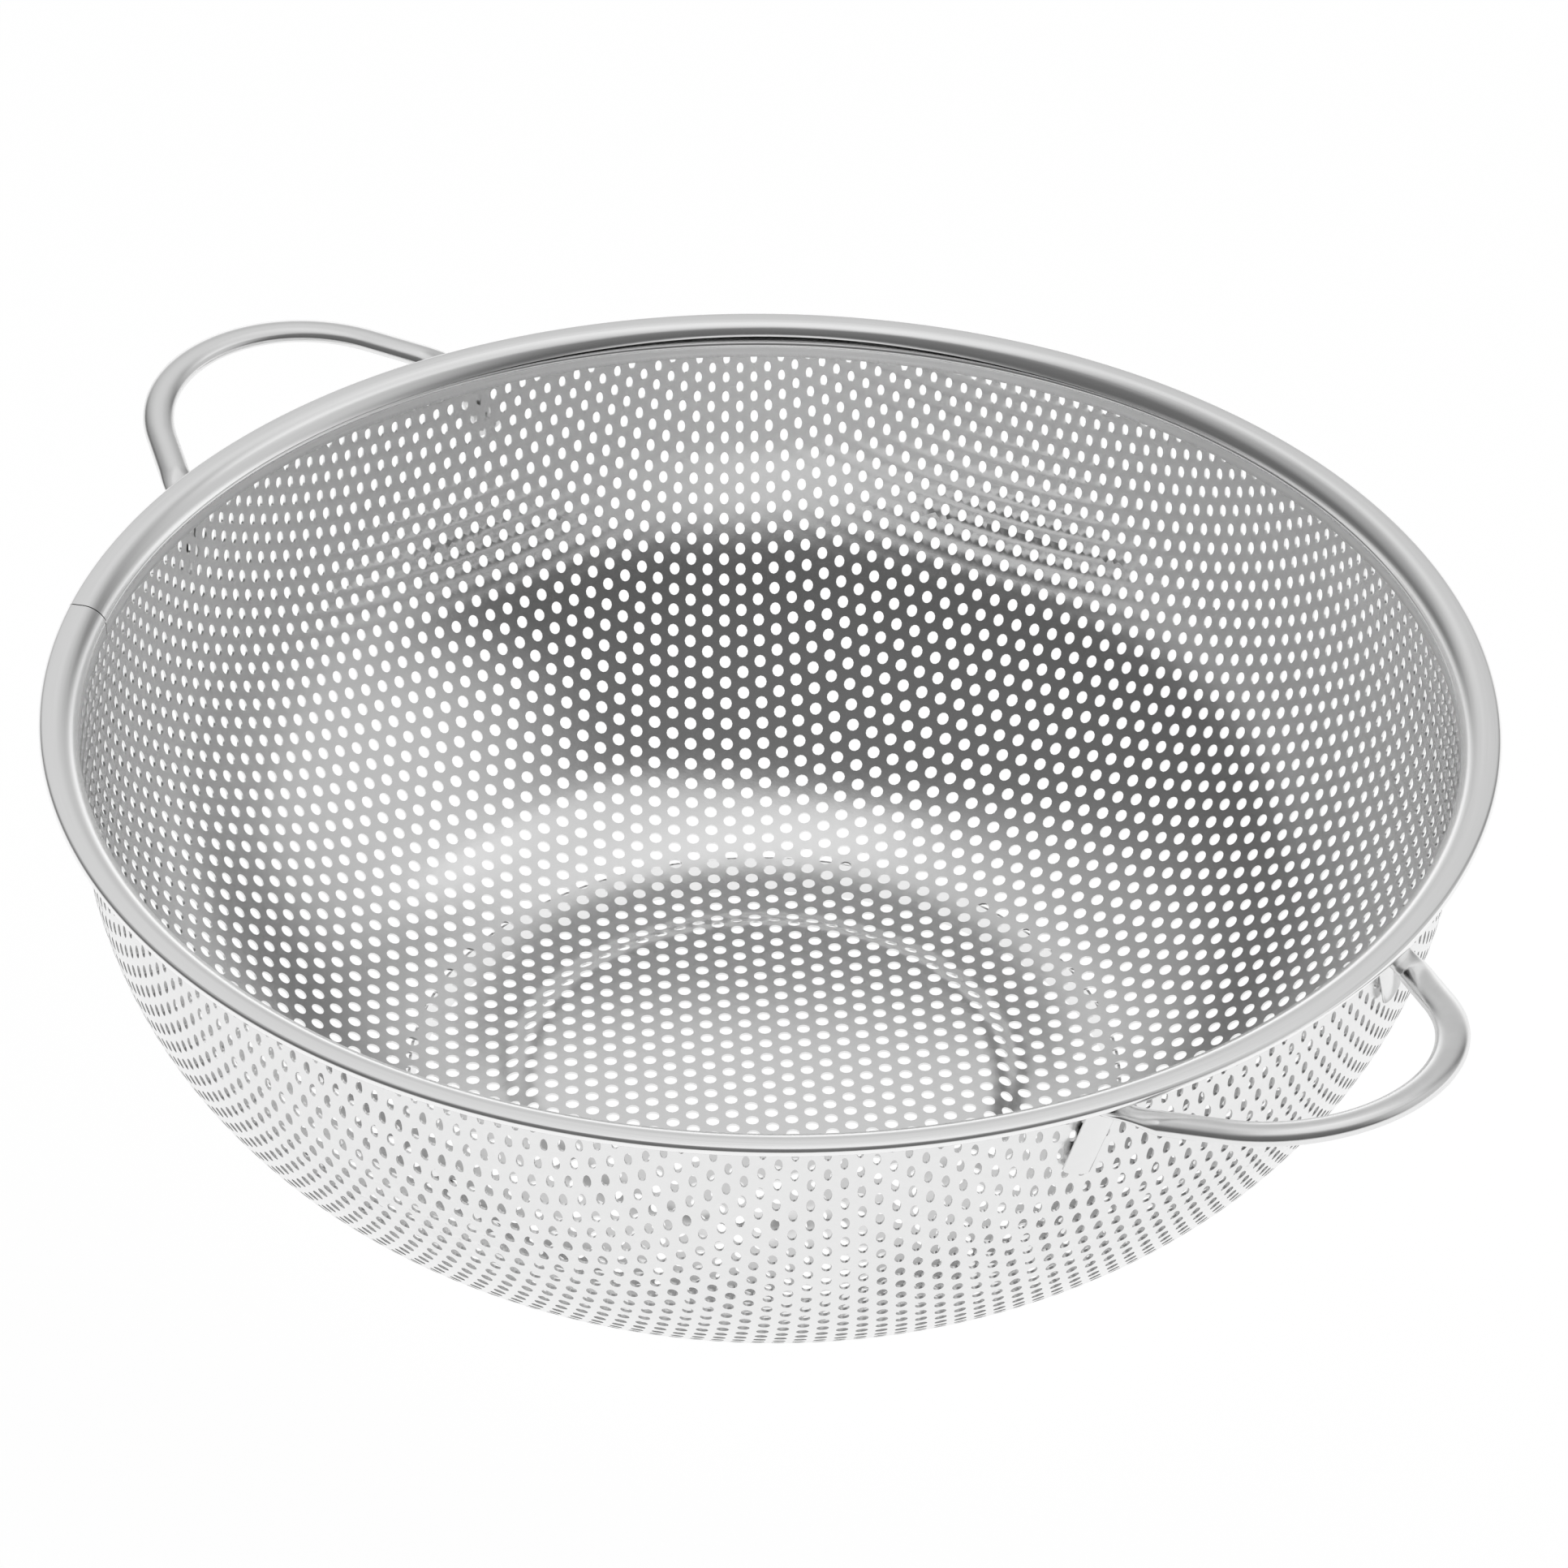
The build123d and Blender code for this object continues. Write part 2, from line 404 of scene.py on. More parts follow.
@dataclass
class PunchedBowl:
    """The bowl: a blank punched on a triangular grid and drawn to shape, in three zones.

    Lengths are in millimetres and angles in degrees. The ears are waves that drawing raised in the
    pattern, each with its count round the bowl, its azimuth and its height. A zone has its name and
    the distances from the centre between which it lies.
    """

    meridian: Meridian
    sheet: float = 0.5
    pitch: float = 4.85
    hole: float = 2.9
    hole_sides: int = 12
    pattern_turn: float = 50.76
    pattern_x: float = -11.35
    pattern_y: float = 15.62
    row_squeeze: float = 0.0151
    row_shear: float = 0.0073
    plain_edge: float = 1.55
    draw_stretch: float = 0.0203
    draw_reach: float = 110.0
    draw_back: float = 0.007
    swell_start: float = 168.0
    swell_width: float = 24.0
    shrink_start: float = 122.0
    shrink_width: float = 48.0
    ears: tuple[tuple[int, float, float], ...] = ((4, 12.0, 0.64), (6, 40.5, 0.23))
    ear_start: float = 73.0
    ear_reach: float = 97.0
    ridge_height: float = 0.5
    ridge_start: float = 146.0
    ridge_rise: float = 20.0
    ridge_spread: float = 15.0
    ridge_power: int = 4
    hole_slack: float = 1.02
    spare_cells: int = 6
    weld_distance: float = 0.01
    hole_edge: float = 0.808
    rim_parts: int = 720
    zones: tuple[tuple[str, float, float], ...] = (
        ("bowl_base", 0.0, 116.0),
        ("bowl_side", 116.0, 163.0),
        ("bowl_wall", 163.0, math.inf),
    )

    def flat_place(self, u: float, v: float) -> tuple[float, float]:
        """Place a grid point on the drawn blank.

        Args:
            u: Distance across the rows, in pitches.
            v: Distance along a row, in pitches.

        Returns:
            Its place on the blank after stretching, in millimetres.
        """
        across = (u + self.row_shear * v) * self.pitch
        along = v * (1 - self.row_squeeze) * self.pitch
        spin = math.radians(self.pattern_turn)
        x = across * math.cos(spin) - along * math.sin(spin) + self.pattern_x
        y = across * math.sin(spin) + along * math.cos(spin) + self.pattern_y
        reach = math.hypot(x, y)
        grow = 1 + self.draw_stretch * eased(reach / self.draw_reach)
        swell = eased((reach - self.swell_start) / self.swell_width)
        shrink = eased((reach - self.shrink_start) / self.shrink_width)
        grow += self.draw_back * (swell - shrink)
        if reach > self.ear_start:
            share = (reach - self.ear_start) / self.ear_reach / reach
            for count, azimuth, height in self.ears:
                grow += height * share * math.cos(count * (math.atan2(y, x) - math.radians(azimuth)))
        return x * grow, y * grow

    def ridge(self, u: float, v: float) -> float:
        """Height of the ridges that drawing raised between rows that run along the rim.

        Args:
            u: Distance across the rows, in pitches.
            v: Distance along a row, in pitches.

        Returns:
            The ridge's height into the bowl, in millimetres.
        """
        x, y = self.flat_place(u, v)
        share = eased((math.hypot(x, y) - self.ridge_start) / self.ridge_rise)
        if share == 0:
            return 0.0
        azimuth = math.degrees(math.atan2(y, x))
        total = 0.0
        for turn in range(0, 360, GRID_TURN):
            off = (azimuth - self.pattern_turn - turn + 180) % 360 - 180
            way = math.radians(turn)
            row = (u * math.cos(way) + v * math.sin(way)) / ROW_STEP
            facing = math.exp(-((off / self.ridge_spread) ** 2))
            total += facing * math.sin(math.pi * row) ** self.ridge_power
        return total * share * self.ridge_height

    def squeezed(self, u: float, v: float) -> tuple[float, float]:
        """Place a point of the pattern, with each hole squeezed more than the sheet round it.

        Args:
            u: Distance across the rows, in pitches.
            v: Distance along a row, in pitches.

        Returns:
            Its place on the stretched blank, in millimetres.
        """
        x, y = self.flat_place(u, v)
        column = round(u / ROW_STEP)
        middle_u = column * ROW_STEP
        middle_v = round(v - column % 2 / 2) + column % 2 / 2
        if math.hypot(u - middle_u, v - middle_v) > self.hole / self.pitch / 2 * self.hole_slack:
            return x, y
        middle_x, middle_y = self.flat_place(middle_u, middle_v)
        reach = math.hypot(middle_x, middle_y)
        hoop_x, hoop_y = -middle_y / reach, middle_x / reach
        off = (x - middle_x) * hoop_x + (y - middle_y) * hoop_y
        loss = off * (1 - self.meridian.at(min(reach, self.meridian.length))[0] / reach)
        return x - hoop_x * loss, y - hoop_y * loss

    def punched_cell(self) -> bpy.types.Mesh:
        """Make one cell of the blank: a hexagon, one pitch across its flats, round one hole."""
        cell = bmesh.new()
        bmesh.ops.create_circle(cell, segments=self.hole_sides, radius=self.hole / self.pitch / 2)
        rim = bmesh.ops.create_circle(cell, segments=CELL_SIDES, radius=1 / math.sqrt(3))
        outer = [e for e in cell.edges if all(v in rim["verts"] for v in e.verts)]
        half_turn = Matrix.Rotation(math.radians(GRID_TURN / 2), 3, "Z")
        bmesh.ops.rotate(cell, verts=rim["verts"], matrix=half_turn)
        bmesh.ops.subdivide_edges(cell, edges=outer, cuts=self.hole_sides // CELL_SIDES - 1)
        bmesh.ops.bridge_loops(cell, edges=cell.edges[:])
        bmesh.ops.recalc_face_normals(cell, faces=cell.faces[:])
        if cell.faces[0].normal.z < 0:
            bmesh.ops.reverse_faces(cell, faces=cell.faces[:])
        data = bpy.data.meshes.new("punched_cell")
        cell.to_mesh(data)
        cell.free()
        return data

    def blank(self) -> bmesh.types.BMesh:
        """Lay the punched cells side by side and fill the plain edge out to the blank's rim.

        Returns:
            The flat blank, in millimetres.
        """
        cell = self.punched_cell()
        flat = bmesh.new()
        limit = self.meridian.length - self.plain_edge
        count = math.ceil(self.meridian.length / self.pitch) + self.spare_cells
        at_u, at_v = 0.0, 0.0
        for column in range(-count, count + 1):
            for step in range(-count, count + 1):
                u = column * ROW_STEP
                v = -(step + (column % 2) / 2)
                if math.hypot(*self.flat_place(u, v)) > limit:
                    continue
                cell.transform(Matrix.Translation((u - at_u, v - at_v, 0)))
                at_u, at_v = u, v
                flat.from_mesh(cell)
        bpy.data.meshes.remove(cell)
        bmesh.ops.remove_doubles(flat, verts=flat.verts[:], dist=self.weld_distance)
        for vert in flat.verts:
            u, v, _ = vert.co
            vert.co = (*self.squeezed(u, v), self.ridge(u, v))
        outer = [e for e in flat.edges if e.is_boundary and e.calc_length() > self.hole_edge]
        edge = [e for e in outer if e.verts[0].co.length > limit - self.pitch]
        rim = bmesh.ops.create_circle(flat, segments=self.rim_parts, radius=self.meridian.length)
        edge += edges_of(rim["verts"])
        filled = bmesh.ops.triangle_fill(flat, use_beauty=True, edges=edge, normal=Vector((0, 0, 1)))
        turned = [f for f in filled["geom"] if isinstance(f, bmesh.types.BMFace) and f.normal.z < 0]
        bmesh.ops.reverse_faces(flat, faces=turned)
        return flat

    def drawn(self, flat: bmesh.types.BMesh, start: float, end: float) -> bmesh.types.BMesh:
        """Draw one ring of the blank to the bowl's shape and give it its thickness.

        Args:
            flat: The blank.
            start: Where the ring starts, in millimetres from the centre.
            end: Where it ends.

        Returns:
            The zone as a closed sheet, in metres.
        """
        zone = flat.copy()
        away = [f for f in zone.faces if not start <= f.calc_center_median().length < end]
        bmesh.ops.delete(zone, geom=away, context="FACES")
        pushed = bmesh.ops.extrude_face_region(zone, geom=zone.faces[:], use_keep_orig=True)["geom"]
        lower = [v for v in pushed if isinstance(v, bmesh.types.BMVert)]
        bmesh.ops.translate(zone, verts=lower, vec=(0, 0, -self.sheet))
        bmesh.ops.recalc_face_normals(zone, faces=zone.faces[:])
        for vert in zone.verts:
            x, y, lift = vert.co
            reach, way = math.hypot(x, y), math.atan2(y, x)
            r, z, slope = self.meridian.at(min(reach, self.meridian.length))
            r -= math.sin(slope) * lift
            z += math.cos(slope) * lift
            vert.co = Vector((r * math.cos(way), r * math.sin(way), z)) * MM
        zone.normal_update()
        return zone

    def build(self, finish: SteelFinish) -> list[bpy.types.Object]:
        """Build and dress the three zones.

        Args:
            finish: The bowl's steel.

        Returns:
            The zones, inner first.
        """
        flat = self.blank()
        steel = finish.build()
        made = []
        for name, start, end in self.zones:
            piece = finished(name, self.drawn(flat, start, end), steel)
            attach(piece, "root")
            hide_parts("perforated_bowl")
            made.append(piece)
        flat.free()
        return made


@dataclass
class RolledBand:
    """The rim band: one strip rolled round the bowl's edge and closed with a butt seam.

    Lengths are in millimetres and angles in degrees. The strip runs up its leg, over the bend, out
    along the layer, round the edge, back along the flat and down the crown, each run in its number of
    parts. The crown is lifted most at one azimuth.
    """

    meridian: Meridian
    sheet: float = 0.5
    gap: float = 0.15
    leg: float = 2.7
    bend: float = 0.5
    layer_rise: float = 17.7
    layer_width: float = 7.0
    edge_bend: float = 0.7
    crown_flat: float = 2.15
    crown_bend: float = 5.1
    crown_turn: float = 66.0
    seam_azimuth: float = 216.35
    seam_gap: float = 0.3
    lift_azimuth: float = 137.0
    lift_spread: float = 34.0
    lift: float = 0.95
    parts: tuple[int, ...] = (2, 5, 4, 12, 2, 12)
    steps: int = 360

    def centre_line(self) -> list[tuple[float, float, float]]:
        """Walk along the middle of the strip from the foot of its leg to its free edge.

        Returns:
            Radius, height and heading in radians of each point.
        """
        draft = math.radians(self.meridian.wall_draft)
        top_r, top_z, _ = self.meridian.at(self.meridian.length)
        side = self.gap + self.sheet / 2
        heading = math.pi / 2 - draft
        r = top_r - side * math.cos(draft) - self.leg * math.cos(heading)
        z = top_z + side * math.sin(draft) - self.leg * math.sin(heading)
        rise = math.radians(self.layer_rise)
        walks = [
            (self.leg, 0.0),
            (self.bend, rise - heading),
            (self.layer_width, 0.0),
            (self.edge_bend, math.pi - rise),
            (self.crown_flat, 0.0),
            (self.crown_bend, math.radians(self.crown_turn)),
        ]
        points = [(r, z, heading)]
        for (size, turn), parts in zip(walks, self.parts):
            for _ in range(parts):
                if turn == 0:
                    r += math.cos(heading) * size / parts
                    z += math.sin(heading) * size / parts
                else:
                    way = math.copysign(1, turn)
                    before = heading
                    heading += turn / parts
                    r += way * size * (math.sin(heading) - math.sin(before))
                    z += way * size * (math.cos(before) - math.cos(heading))
                points.append((r, z, heading))
        return points

    def build(self, finish: SteelFinish) -> bpy.types.Object:
        """Roll the strip round the axis and close its ends.

        Args:
            finish: The band's steel.

        Returns:
            The dressed band.
        """
        line = self.centre_line()
        half = self.sheet / 2
        sides = [[], []]
        for r, z, heading in line:
            for side, way in zip(sides, (1, -1)):
                side.append((r - way * math.sin(heading) * half, z + way * math.cos(heading) * half))
        outline = sides[0] + sides[1][::-1]
        strip = bmesh.new()
        crown = strip.verts.layers.float.new("crown")
        verts = [strip.verts.new((r * MM, 0, z * MM)) for r, z in outline]
        crown_parts = self.parts[-1]
        crown_start = len(line) - 1 - crown_parts
        for number, vert in enumerate(verts):
            step = min(number, len(outline) - 1 - number)
            vert[crown] = max(step - crown_start, 0) / crown_parts
        edges = [strip.edges.new((verts[k - 1], verts[k])) for k in range(len(verts))]
        bmesh.ops.contextual_create(strip, geom=edges)
        seam = math.radians(self.seam_azimuth)
        bmesh.ops.rotate(strip, verts=verts, matrix=Matrix.Rotation(seam, 3, "Z"))
        sweep = 2 * math.pi - self.seam_gap / line[-1][0]
        start = strip.faces[:] + strip.edges[:] + strip.verts[:]
        bmesh.ops.spin(
            strip,
            geom=start,
            axis=(0, 0, 1),
            cent=(0, 0, 0),
            angle=sweep,
            steps=self.steps,
        )
        bmesh.ops.recalc_face_normals(strip, faces=strip.faces[:])
        for vert in strip.verts:
            azimuth = math.degrees(math.atan2(vert.co.y, vert.co.x))
            off = (azimuth - self.lift_azimuth + 180) % 360 - 180
            rise = vert[crown] ** 2 * (1 - eased(abs(off) / self.lift_spread)) * self.lift * MM
            flat = math.hypot(vert.co.x, vert.co.y)
            vert.co += Vector((vert.co.x / flat, vert.co.y / flat, 1)) * rise
        log.info("band strip: %d points in its section", len(outline))
        piece = finished("rolled_rim_band", strip, finish.build(), sharp=50.0)
        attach(piece, "root")
        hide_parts("rim_band")
        return piece


@dataclass(frozen=True)
class Section:
    """One section of a bent tube: its middle, its two directions and its two sizes, in millimetres."""

    middle: Vector
    across: Vector
    through: Vector
    width: float
    thickness: float

    def mirrored(self) -> "Section":
        """Return the section's mirror image across the handle's middle plane."""
        vectors = (self.middle, self.across, self.through)
        flipped = [Vector((vector.x, -vector.y, vector.z)) for vector in vectors]
        return Section(*flipped, self.width, self.thickness)

    def ring(self, mesh: bmesh.types.BMesh, sides: int, roundness: float) -> list[bmesh.types.BMEdge]:
        """Draw the section as a closed ring, flattened but without corners.

        Args:
            mesh: The mesh that it is drawn in.
            sides: Its number of points.
            roundness: Power of the sine and cosine, 1 for an ellipse and less for a boxier one.

        Returns:
            The ring's edges.
        """
        verts = bmesh.ops.create_circle(mesh, segments=sides, radius=1.0)["verts"]
        edges = edges_of(verts)
        for vert in verts:
            x = math.copysign(abs(vert.co.x) ** roundness, vert.co.x) * self.width / 2
            y = math.copysign(abs(vert.co.y) ** roundness, vert.co.y) * self.thickness / 2
            vert.co = self.middle + self.across * x + self.through * y
        return edges


@dataclass
class BentHandle:
    """A handle: one tube bent to a loop, its ends pinched flat, folded down and laid on the wall.

    Lengths are in millimetres and angles in degrees.
    """

    side: str
    azimuth: float
    height: float
    reach: float
    bend: float
    rise: float
    splay: float
    width: float
    thickness: float
    tab_shifts: tuple[float, float] = (2.3, 2.3)
    band_radius: float = 150.07
    wall_radius: float = 143.22
    fold_radius: float = 146.22
    fold_height: float = 101.94
    fold_bend: float = 1.0
    layer_rise: float = 17.7
    wall_draft: float = 1.5
    leg: float = 12.0
    strap: float = 1.9
    pinch_width: float = 7.2
    pinch_pace: float = 1.6
    tab_width: float = 6.5
    tab_length: float = 14.0
    tab_lean: float = 21.3
    tab_gap: float = 0.15
    tab_round: float = 0.5
    arc_parts: int = 30
    pinch_parts: int = 12
    fold_parts: int = 8
    sides: int = 32
    roundness: float = 0.92

    def __post_init__(self) -> None:
        """Set up the plane of the loop, at the outer edge of the band."""
        rise = math.radians(self.rise)
        self.origin = Vector((self.band_radius, 0, self.height))
        self.out = Vector((math.cos(rise), 0, math.sin(rise)))
        self.aside = Vector((0, 1, 0))
        self.face = self.out.cross(self.aside)

    def loop(self) -> list[Section]:
        """Walk from the middle of the loop along its arc and down its straight leg.

        Returns:
            The sections of half the loop.
        """
        half = math.radians(90 - self.splay)
        sections = []
        for part in range(self.arc_parts + 1):
            turn = half * part / self.arc_parts
            across = self.out * math.cos(turn) + self.aside * math.sin(turn)
            middle = self.origin + self.out * (self.reach - self.bend) + across * self.bend
            sections.append(Section(middle, across, self.face, self.width, self.thickness))
        last = sections[-1]
        ahead = self.aside * math.cos(half) - self.out * math.sin(half)
        end = last.middle + ahead * self.leg
        sections.append(Section(end, last.across, self.face, self.width, self.thickness))
        return sections

    def fold(self, start: Vector, heading: Vector, shift: float) -> list[tuple[Section, Vector]]:
        """Walk over the fold, from under the band down to the wall.

        Args:
            start: The end of the leg.
            heading: The leg's direction.
            shift: How far the tab sits from the leg's line, towards the middle of the handle.

        Returns:
            The sections of the fold, each with the strap's direction there.
        """
        weld = self.wall_radius + self.tab_gap + self.strap / 2
        square = heading.x ** 2 + heading.y ** 2
        run = (start.x * heading.x + start.y * heading.y) / square
        rest = (start.x ** 2 + start.y ** 2 - weld ** 2) / square
        spot = start + heading * (-run - math.sqrt(run ** 2 - rest))
        turn = math.atan2(spot.y, spot.x) - shift / weld
        out = Vector((math.cos(turn), math.sin(turn), 0))
        aside = Vector((-math.sin(turn), math.cos(turn), 0))
        upright = Vector((0, 0, 1))
        middle = self.fold_bend + self.strap / 2
        lean = math.radians(self.tab_lean)
        first, last = math.radians(90 + self.layer_rise), math.radians(180 - self.wall_draft)
        sections = []
        for part in range(self.fold_parts + 1):
            share = part / self.fold_parts
            angle = first + (last - first) * share
            normal = out * math.cos(angle) + upright * math.sin(angle)
            over = upright * math.cos(angle) - out * math.sin(angle)
            way = over * math.cos(lean) + aside * math.sin(lean)
            drift = middle * (math.pi - math.radians(self.wall_draft) - angle) * math.tan(lean)
            place = out * self.fold_radius + upright * self.fold_height + normal * middle - aside * drift
            width = self.pinch_width + (self.tab_width - self.pinch_width) * share
            sections.append((Section(place, normal.cross(way), normal, width, self.strap), way))
        return sections

    def half(self, shift: float) -> list[Section]:
        """List the sections of half the handle, from the middle of its loop to the end of its tab.

        Args:
            shift: How far the tab sits from the leg's line, towards the middle of the handle.

        Returns:
            The sections.
        """
        loop = self.loop()
        leg = loop[-1]
        heading = (leg.middle - loop[-2].middle).normalized()
        fold = self.fold(leg.middle, heading, shift)
        target, way = fold[0]
        pull = (target.middle - leg.middle).length / 3
        curve = interpolate_bezier(
            leg.middle,
            leg.middle + heading * pull,
            target.middle - way * pull,
            target.middle,
            self.pinch_parts + 1,
        )
        pinch = []
        for part in range(1, self.pinch_parts):
            share = part / self.pinch_parts
            along = (curve[part + 1] - curve[part - 1]).normalized()
            through = self.face.lerp(target.through, eased(share))
            across = through.cross(along).normalized()
            flat = eased(share * self.pinch_pace)
            width = self.width + (self.pinch_width - self.width) * flat
            thickness = self.thickness + (self.strap - self.thickness) * flat
            pinch.append(Section(curve[part], across, along.cross(across), width, thickness))
        tab, down = fold[-1]
        ends = []
        for run, loss in ((self.tab_length - self.tab_round, 0.0), (self.tab_length, self.tab_round)):
            middle = tab.middle + down * run
            width, thickness = tab.width - 2 * loss, tab.thickness - loss
            ends.append(Section(middle, tab.across, tab.through, width, thickness))
        return loop + pinch + [section for section, _ in fold] + ends

    def build(self, finish: SteelFinish) -> bpy.types.Object:
        """Bend the tube and put the handle in its place.

        Args:
            finish: The handle's steel.

        Returns:
            The dressed handle.
        """
        tube = bmesh.new()
        halves = [self.half(shift) for shift in self.tab_shifts]
        sections = halves[0][::-1] + [section.mirrored() for section in halves[1][1:]]
        rings = [section.ring(tube, self.sides, self.roundness) for section in sections]
        for near, far in zip(rings, rings[1:]):
            bmesh.ops.bridge_loops(tube, edges=near + far)
        for end in (rings[0], rings[-1]):
            bmesh.ops.contextual_create(tube, geom=end)
        bmesh.ops.recalc_face_normals(tube, faces=tube.faces[:])
        tube.transform(Matrix.Rotation(math.radians(self.azimuth), 4, "Z") @ Matrix.Scale(MM, 4))
        piece = finished(f"bent_handle_{self.side}", tube, finish.build())
        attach(piece, "root")
        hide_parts(f"handle_{self.side}")
        return piece


@dataclass(frozen=True)
class Glow:
    """A soft patch of light in the surroundings, seen from the colander, angles in degrees."""

    azimuth: float
    elevation: float
    spread: float
    strength: float


@dataclass
class Studio:
    """Camera, lamp, floor and surroundings of the photograph, lengths in metres.

    The focal length and the picture's side are in the photograph's pixels, angles in degrees.
    """

    focal: float = 7489.4
    picture: float = 1932.0
    sensor: float = 36.0
    sight: float = 20.0
    pitch: float = 35.629
    roll: float = 1.0762
    yaw: float = 0.1685
    turn: float = 46.85
    place: tuple[float, float, float] = (0.750383, -0.703425, 0.821690)
    floor_half: float = 6.0
    floor_plain: float = 0.85
    floor_glow: float = 0.95
    floor_shadow: float = 0.12
    dark: float = 0.11
    horizon: float = 0.8
    horizon_fade: tuple[float, float] = (0.05, 0.36)
    glows: tuple[Glow, ...] = (
        Glow(137.0, 82.0, 80.0, 0.06),
        Glow(112.0, 64.0, 38.0, 0.25),
        Glow(55.0, 33.0, 42.0, 0.48),
        Glow(169.0, 54.0, 38.0, 0.24),
        Glow(137.0, 20.0, 40.0, 0.42),
    )
    lamp_place: tuple[float, float, float] = (-0.2, 0.5, 1.4)
    lamp_aim: tuple[float, float, float] = (0, 0, 0.05)
    lamp_size: float = 0.9
    lamp_power: float = 0.8

    def camera(self) -> None:
        """Set the camera at the photograph's place and angle."""
        pitch, roll, yaw = (math.radians(v) for v in (self.pitch, self.roll, self.yaw))
        flat = math.cos(pitch)
        ahead = Vector((math.sin(yaw) * flat, math.cos(yaw) * flat, -math.sin(pitch)))
        level = Vector((math.cos(yaw), -math.sin(yaw), 0))
        over = level.cross(ahead)
        right = math.cos(roll) * level + math.sin(roll) * over
        top = -math.sin(roll) * level + math.cos(roll) * over
        spin = Matrix.Rotation(math.radians(self.turn), 3, "Z")
        columns = (spin @ right, spin @ top, spin @ -ahead)
        turned = Matrix(columns).transposed().to_4x4()
        data = bpy.data.cameras.new("camera")
        data.sensor_width = self.sensor
        data.lens = self.focal / self.picture * self.sensor
        data.clip_end = self.sight
        camera = bpy.data.objects.new("camera", data)
        bpy.context.scene.collection.objects.link(camera)
        camera.matrix_world = Matrix.Translation(self.place) @ turned
        bpy.context.scene.camera = camera

    def floor(self) -> None:
        """Lay a white floor that keeps a soft shadow."""
        plane = bmesh.new()
        bmesh.ops.create_grid(plane, x_segments=1, y_segments=1, size=self.floor_half)
        material = bpy.data.materials.new("white_floor")
        material.use_nodes = True
        tree = material.node_tree
        tree.nodes.clear()
        seen = seen_by(tree, "Is Camera Ray", "Is Glossy Ray", "Is Transmission Ray")
        plain, faint = (
            node(tree, "ShaderNodeBsdfDiffuse", inputs={"Color": (grey, grey, grey, 1)})
            for grey in (self.floor_plain, self.floor_shadow)
        )
        bright = node(tree, "ShaderNodeEmission", inputs={"Color": WHITE, "Strength": self.floor_glow})
        both = node(tree, "ShaderNodeAddShader", inputs={0: bright, 1: faint})
        mixed = node(tree, "ShaderNodeMixShader", inputs={0: seen, 1: plain, 2: both})
        out = tree.nodes.new("ShaderNodeOutputMaterial")
        tree.links.new(mixed.socket, out.inputs["Surface"])
        made = finished("floor", plane, material)

    def surroundings(self) -> None:
        """Light the scene from a pale room."""
        world = bpy.data.worlds.new("studio")
        bpy.context.scene.world = world
        world.use_nodes = True
        tree = world.node_tree
        tree.nodes.clear()
        seen = seen_by(tree, "Is Camera Ray", "Is Transmission Ray")
        x, y, z = axes(tree, node(tree, "ShaderNodeTexCoord", output="Generated"))
        tone = (1 - z.ramp(*self.horizon_fade)) * self.horizon + self.dark
        for glow in self.glows:
            azimuth, elevation = math.radians(glow.azimuth), math.radians(glow.elevation)
            level = x * math.cos(azimuth) + y * math.sin(azimuth)
            facing = level * math.cos(elevation) + z * math.sin(elevation)
            tone = tone + facing.ramp(math.cos(math.radians(glow.spread)), 1.0) * glow.strength
        room = node(tree, "ShaderNodeBackground", inputs={"Color": WHITE, "Strength": tone})
        white = node(tree, "ShaderNodeBackground", inputs={"Color": WHITE, "Strength": 1.0})
        mixed = node(tree, "ShaderNodeMixShader", inputs={0: seen, 1: room, 2: white})
        out = tree.nodes.new("ShaderNodeOutputWorld")
        tree.links.new(mixed.socket, out.inputs["Surface"])

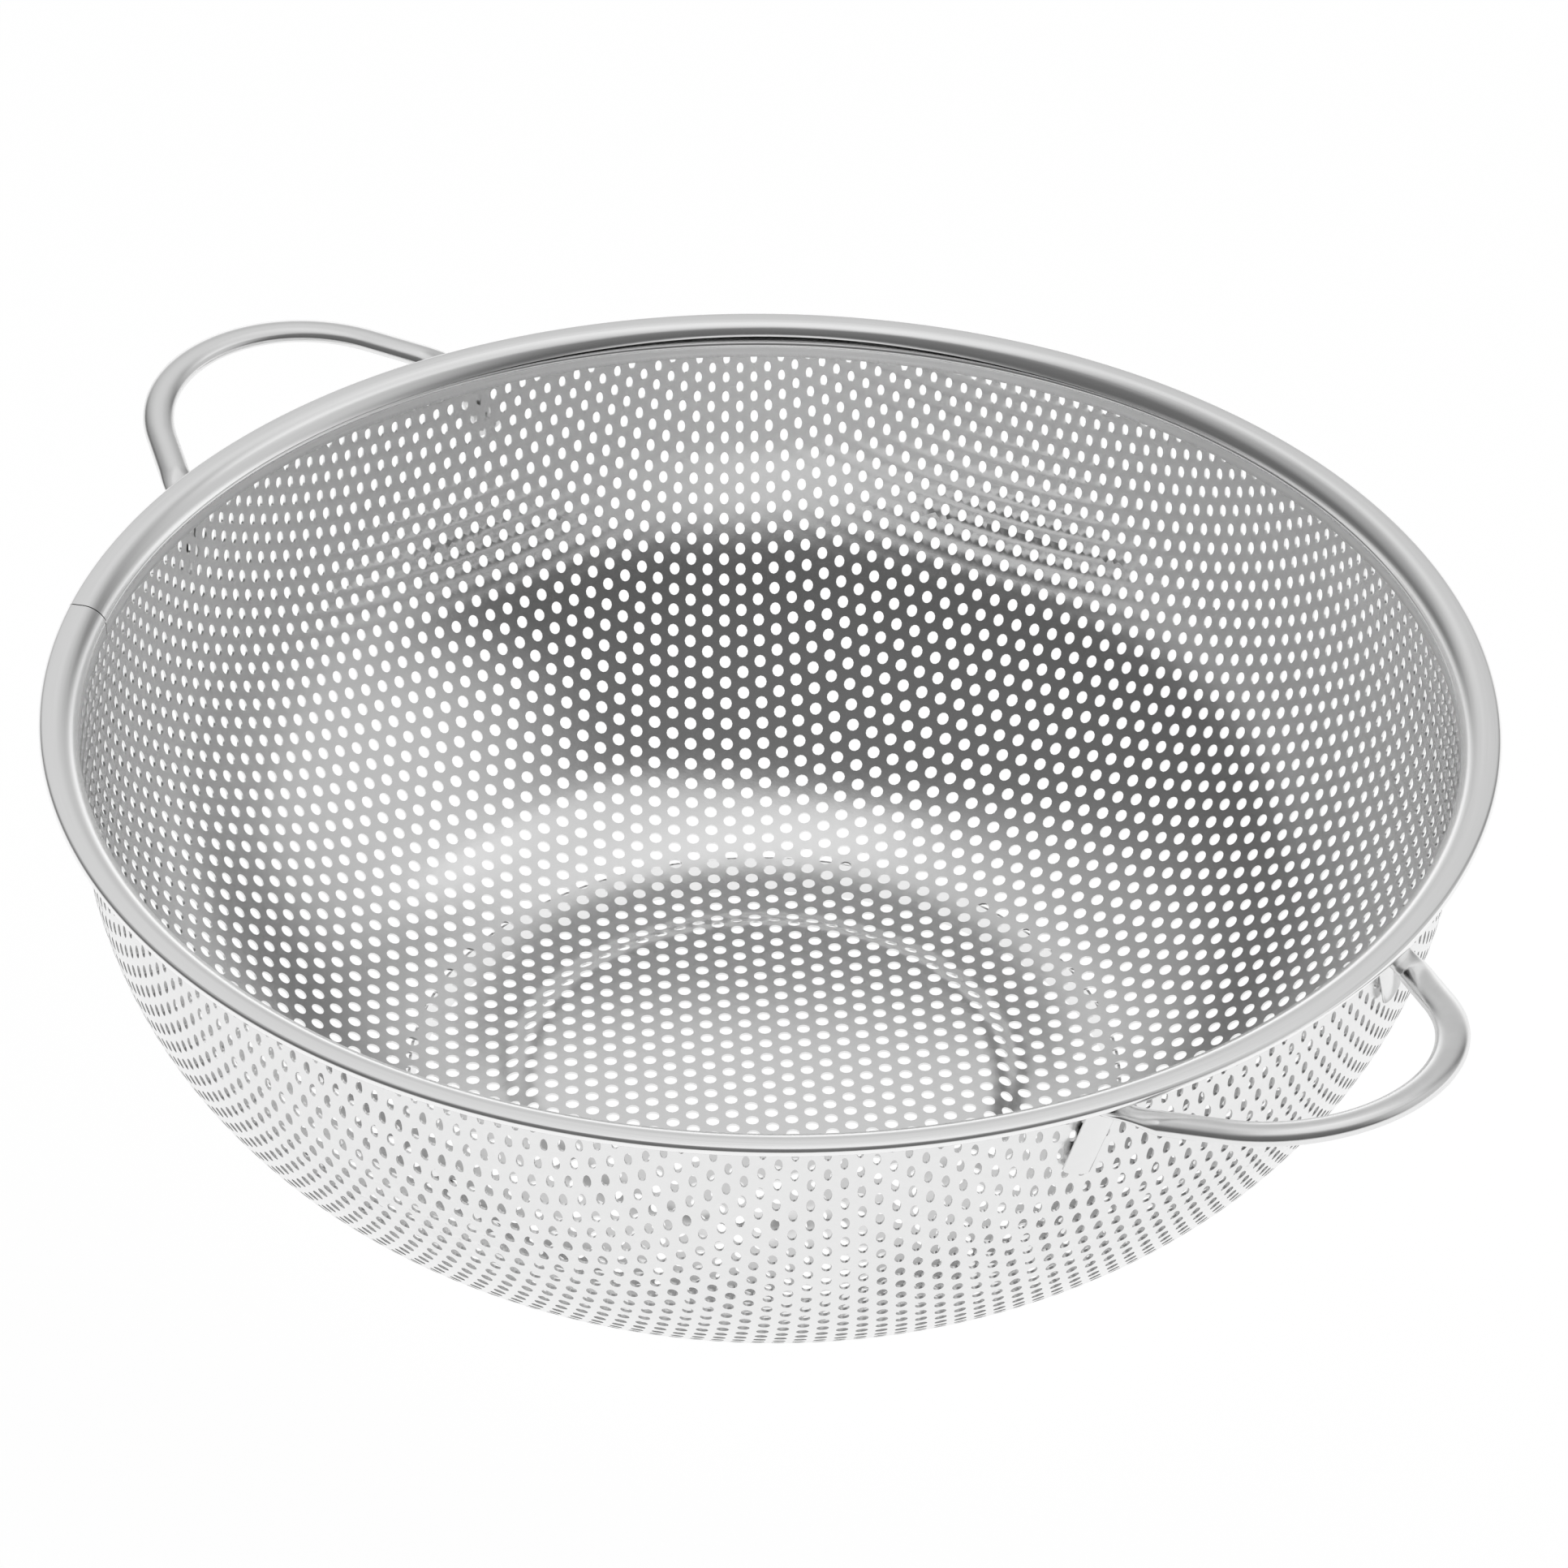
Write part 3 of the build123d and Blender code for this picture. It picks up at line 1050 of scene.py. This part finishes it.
    def lamp(self) -> None:
        """Hang one weak soft box over the colander."""
        data = bpy.data.lights.new("top_box", "AREA")
        data.shape = "SQUARE"
        data.size = self.lamp_size
        data.energy = self.lamp_power
        made = bpy.data.objects.new("top_box", data)
        bpy.context.scene.collection.objects.link(made)
        back = Vector(self.lamp_place) - Vector(self.lamp_aim)
        spin = back.to_track_quat("Z", "Y").to_matrix().to_4x4()
        made.matrix_world = Matrix.Translation(self.lamp_place) @ spin

    def build(self) -> None:
        """Set up everything round the object."""
        self.camera()
        self.floor()
        self.surroundings()
        self.lamp()


def dress(name: str, finish: SteelFinish) -> None:
    """Give a CAD node its own finish.

    Args:
        name: The node.
        finish: Its steel.
    """
    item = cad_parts[name]
    item.data.materials.clear()
    item.data.materials.append(finish.build())


def main() -> None:
    """Build the colander and its studio in order."""
    logging.basicConfig(level=logging.INFO, format="%(name)s: %(message)s")
    meridian = Meridian()
    pieces = PunchedBowl(meridian).build(SteelFinish("bowl_satin", 0.84, 0.20, Grain.MOTTLED, 900.0))
    band_finish = SteelFinish("band_satin", 0.93, 0.22, Grain.ROUND, 2500.0, leg=LegMarks())
    pieces.append(RolledBand(meridian).build(band_finish))
    handles = (
        BentHandle(
            side="right",
            azimuth=-0.14,
            height=102.29,
            reach=28.22,
            bend=33.06,
            rise=9.86,
            splay=25.04,
            width=6.79,
            thickness=3.5,
            tab_shifts=(4.0, -1.8),
        ),
        BentHandle(
            side="left",
            azimuth=181.23,
            height=106.0,
            reach=29.39,
            bend=33.62,
            rise=6.9,
            splay=27.03,
            width=6.81,
            thickness=3.3,
        ),
    )
    for handle in handles:
        finish = SteelFinish(f"handle_{handle.side}_satin", 0.84, 0.22, Grain.LENGTHWISE, 900.0)
        pieces.append(handle.build(finish))
    for piece in pieces:
        log.info("%s: %d faces", piece.name, len(piece.data.polygons))
    dress("foot_ring", SteelFinish("foot_satin", 0.85, 0.25, Grain.ROUND, 1500.0))
    Studio().build()
    scene = bpy.context.scene
    scene.view_settings.view_transform = "Standard"


if __name__ == "__main__":
    main()
